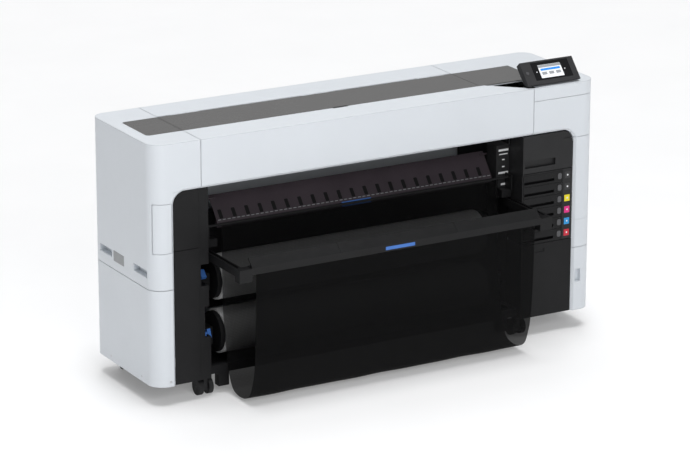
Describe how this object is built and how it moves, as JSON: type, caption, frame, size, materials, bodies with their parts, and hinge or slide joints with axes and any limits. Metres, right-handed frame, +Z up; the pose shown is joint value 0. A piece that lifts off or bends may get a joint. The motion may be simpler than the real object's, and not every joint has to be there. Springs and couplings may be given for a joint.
{
  "type": "large format plotter",
  "caption": "Wide-format roll plotter with rounded casing, hinged front cover, ink trays, tilting control panel, paper rolls, casters and a sliding cloth basket.",
  "frame": {"origin": "centre of the overall footprint, on the floor", "axes": "+X to the operator's right along the long casing, +Y from the front to the back, +Z up"},
  "size_m": [1.909, 0.707, 1.0795],
  "materials": {
    "white_cover": "satin",
    "black_cover": "fine texture",
    "tinted_window": "gloss",
    "frame_steel": "powder coat",
    "bright_steel": "brushed",
    "guide_plastic": "satin",
    "blue_plastic": "satin",
    "belt_rubber": "ribbed",
    "board": "lacquered",
    "screen": "gloss",
    "button": "satin",
    "mesh_cloth": "sheer mesh",
    "paper": "matte paper",
    "caster_plastic": "satin",
    "tread": "matte",
    "foam_roller": "matte"
  },
  "bodies": {
    "casing": {"left_upper_cover": "white_cover", "left_lower_cover": "white_cover", "right_top_cover": "white_cover", "right_upper_cover": "white_cover", "right_middle_cover": "white_cover", "right_lower_cover": "white_cover", "rear_cover": "white_cover", "rear_top_cover": "white_cover", "top_glass_ends": "tinted_window", "left_front_panels": "black_cover", "left_bay_panel": "black_cover", "ink_bay_frame": "black_cover", "label_panel": "black_cover", "right_lower_panel": "black_cover", "chassis_frame": "frame_steel", "basket_rear_bar": "black_cover", "platen": "guide_plastic", "carriage_rail": "bright_steel", "timing_belt": "belt_rubber", "control_board": "board", "power_inlet": "black_cover", "roll_holders": "black_cover", "screws": "bright_steel", "cloth_rear": "mesh_cloth"},
    "front_cover": {"front_cover_shell": "white_cover", "front_cover_glass": "tinted_window"},
    "control_panel": {"panel_housing": "black_cover", "panel_screen": "screen"},
    "power_button": {"power_button": "button"},
    "left_door": {"left_door": "white_cover"},
    "maintenance_door": {"maintenance_door": "black_cover"},
    "output_guide": {"output_guide": "guide_plastic", "guide_handle": "blue_plastic"},
    "print_carriage": {"print_carriage": "black_cover"},
    "drive_pulley": {"drive_pulley": "bright_steel"},
    "feed_roller": {"feed_roller": "foam_roller"},
    "upper_roll": {"paper_roll_1": "paper", "roll_1_flanges": "black_cover"},
    "lower_roll": {"paper_roll_2": "paper", "roll_2_flanges": "black_cover"},
    "lever_1": {"lock_lever_1": "blue_plastic"},
    "lever_2": {"lock_lever_2": "blue_plastic"},
    "lever_3": {"lock_lever_3": "blue_plastic"},
    "basket": {"basket_arms": "black_cover", "basket_crossbar": "black_cover", "cloth_front": "mesh_cloth"},
    "tray_1": {"ink_tray_1": "black_cover"},
    "tray_2": {"ink_tray_2": "black_cover"},
    "tray_3": {"ink_tray_3": "black_cover"},
    "tray_4": {"ink_tray_4": "black_cover"},
    "tray_5": {"ink_tray_5": "black_cover"},
    "tray_6": {"ink_tray_6": "black_cover"},
    "caster_1_fork": {"caster_1_fork": "caster_plastic"},
    "caster_1_wheels": {"caster_1_wheels": "tread"},
    "caster_2_fork": {"caster_2_fork": "caster_plastic"},
    "caster_2_wheels": {"caster_2_wheels": "tread"},
    "caster_3_fork": {"caster_3_fork": "caster_plastic"},
    "caster_3_wheels": {"caster_3_wheels": "tread"},
    "caster_4_fork": {"caster_4_fork": "caster_plastic"},
    "caster_4_wheels": {"caster_4_wheels": "tread"}
  },
  "joints": [
    {"name": "front_cover_hinge", "type": "hinge", "parent": "casing", "child": "front_cover", "pos_m": [0, 0.2041, 0.9915], "axis": [-1, 0, 0], "range_deg": [0, 60]},
    {"name": "panel_tilt", "type": "hinge", "parent": "casing", "child": "control_panel", "pos_m": [0.768, -0.0715, 1.008], "axis": [-1, 0, 0], "range_deg": [0, 20]},
    {"name": "power_button_press", "type": "slide", "parent": "control_panel", "child": "power_button", "axis": [0, 0.7431, -0.6691], "range_m": [0, 0.002], "stiffness_N_per_m": 300},
    {"name": "left_door_hinge", "type": "hinge", "parent": "casing", "child": "left_door", "pos_m": [-0.9408, -0.123, 0.6785], "axis": [0, 0, -1], "range_deg": [0, 95]},
    {"name": "maintenance_door_hinge", "type": "hinge", "parent": "casing", "child": "maintenance_door", "pos_m": [0.74, -0.1385, 0.8], "axis": [-1, 0, 0], "range_deg": [0, 75]},
    {"name": "output_guide_hinge", "type": "hinge", "parent": "casing", "child": "output_guide", "pos_m": [-0.037, 0.031, 0.709], "axis": [-1, 0, 0], "range_deg": [0, 40]},
    {"name": "carriage_slide", "type": "slide", "parent": "casing", "child": "print_carriage", "axis": [1, 0, 0], "range_m": [-1.38, 0]},
    {"name": "drive_pulley_spin", "type": "hinge", "parent": "casing", "child": "drive_pulley", "pos_m": [0.838, 0.1975, 0.905], "axis": [0, 0, 1], "continuous": true},
    {"name": "feed_roller_spin", "type": "hinge", "parent": "casing", "child": "feed_roller", "pos_m": [-0.04, 0.1525, 0.755], "axis": [1, 0, 0], "continuous": true},
    {"name": "upper_roll_spin", "type": "hinge", "parent": "casing", "child": "upper_roll", "pos_m": [-0.044, 0.0175, 0.408], "axis": [1, 0, 0], "continuous": true},
    {"name": "lower_roll_spin", "type": "hinge", "parent": "casing", "child": "lower_roll", "pos_m": [-0.044, -0.0035, 0.205], "axis": [1, 0, 0], "continuous": true},
    {"name": "lever_1_pivot", "type": "hinge", "parent": "casing", "child": "lever_1", "pos_m": [-0.7, 0.0055, 0.408], "axis": [1, 0, 0], "range_deg": [0, 60]},
    {"name": "lever_2_pivot", "type": "hinge", "parent": "casing", "child": "lever_2", "pos_m": [-0.7, -0.0155, 0.205], "axis": [1, 0, 0], "range_deg": [0, 55]},
    {"name": "lever_3_pivot", "type": "hinge", "parent": "casing", "child": "lever_3", "pos_m": [0.612, 0.0055, 0.408], "axis": [1, 0, 0], "range_deg": [0, 60]},
    {"name": "basket_slide", "type": "slide", "parent": "casing", "child": "basket", "axis": [0, 1, 0], "range_m": [0, 0.15]},
    {"name": "tray_1_slide", "type": "slide", "parent": "casing", "child": "tray_1", "axis": [0, -1, 0], "range_m": [0, 0.25]},
    {"name": "tray_2_slide", "type": "slide", "parent": "casing", "child": "tray_2", "axis": [0, -1, 0], "range_m": [0, 0.25]},
    {"name": "tray_3_slide", "type": "slide", "parent": "casing", "child": "tray_3", "axis": [0, -1, 0], "range_m": [0, 0.25]},
    {"name": "tray_4_slide", "type": "slide", "parent": "casing", "child": "tray_4", "axis": [0, -1, 0], "range_m": [0, 0.25]},
    {"name": "tray_5_slide", "type": "slide", "parent": "casing", "child": "tray_5", "axis": [0, -1, 0], "range_m": [0, 0.25]},
    {"name": "tray_6_slide", "type": "slide", "parent": "casing", "child": "tray_6", "axis": [0, -1, 0], "range_m": [0, 0.25]},
    {"name": "caster_1_swivel", "type": "hinge", "parent": "casing", "child": "caster_1_fork", "pos_m": [-0.728, -0.0955, 0.06], "axis": [0, 0, 1], "continuous": true},
    {"name": "caster_1_roll", "type": "hinge", "parent": "caster_1_fork", "child": "caster_1_wheels", "pos_m": [-0.728, -0.0855, 0.032], "axis": [1, 0, 0], "continuous": true},
    {"name": "caster_2_swivel", "type": "hinge", "parent": "casing", "child": "caster_2_fork", "pos_m": [0.64, -0.0955, 0.06], "axis": [0, 0, 1], "continuous": true},
    {"name": "caster_2_roll", "type": "hinge", "parent": "caster_2_fork", "child": "caster_2_wheels", "pos_m": [0.64, -0.0855, 0.032], "axis": [1, 0, 0], "continuous": true},
    {"name": "caster_3_swivel", "type": "hinge", "parent": "casing", "child": "caster_3_fork", "pos_m": [-0.842, 0.2945, 0.06], "axis": [0, 0, 1], "continuous": true},
    {"name": "caster_3_roll", "type": "hinge", "parent": "caster_3_fork", "child": "caster_3_wheels", "pos_m": [-0.842, 0.3045, 0.032], "axis": [1, 0, 0], "continuous": true},
    {"name": "caster_4_swivel", "type": "hinge", "parent": "casing", "child": "caster_4_fork", "pos_m": [0.842, 0.2945, 0.06], "axis": [0, 0, 1], "continuous": true},
    {"name": "caster_4_roll", "type": "hinge", "parent": "caster_4_fork", "child": "caster_4_wheels", "pos_m": [0.842, 0.3045, 0.032], "axis": [1, 0, 0], "continuous": true}
  ],
  "couplings": [
    {"joint": "drive_pulley_spin", "follows": "carriage_slide", "rad_per_m": 64.935}
  ]
}
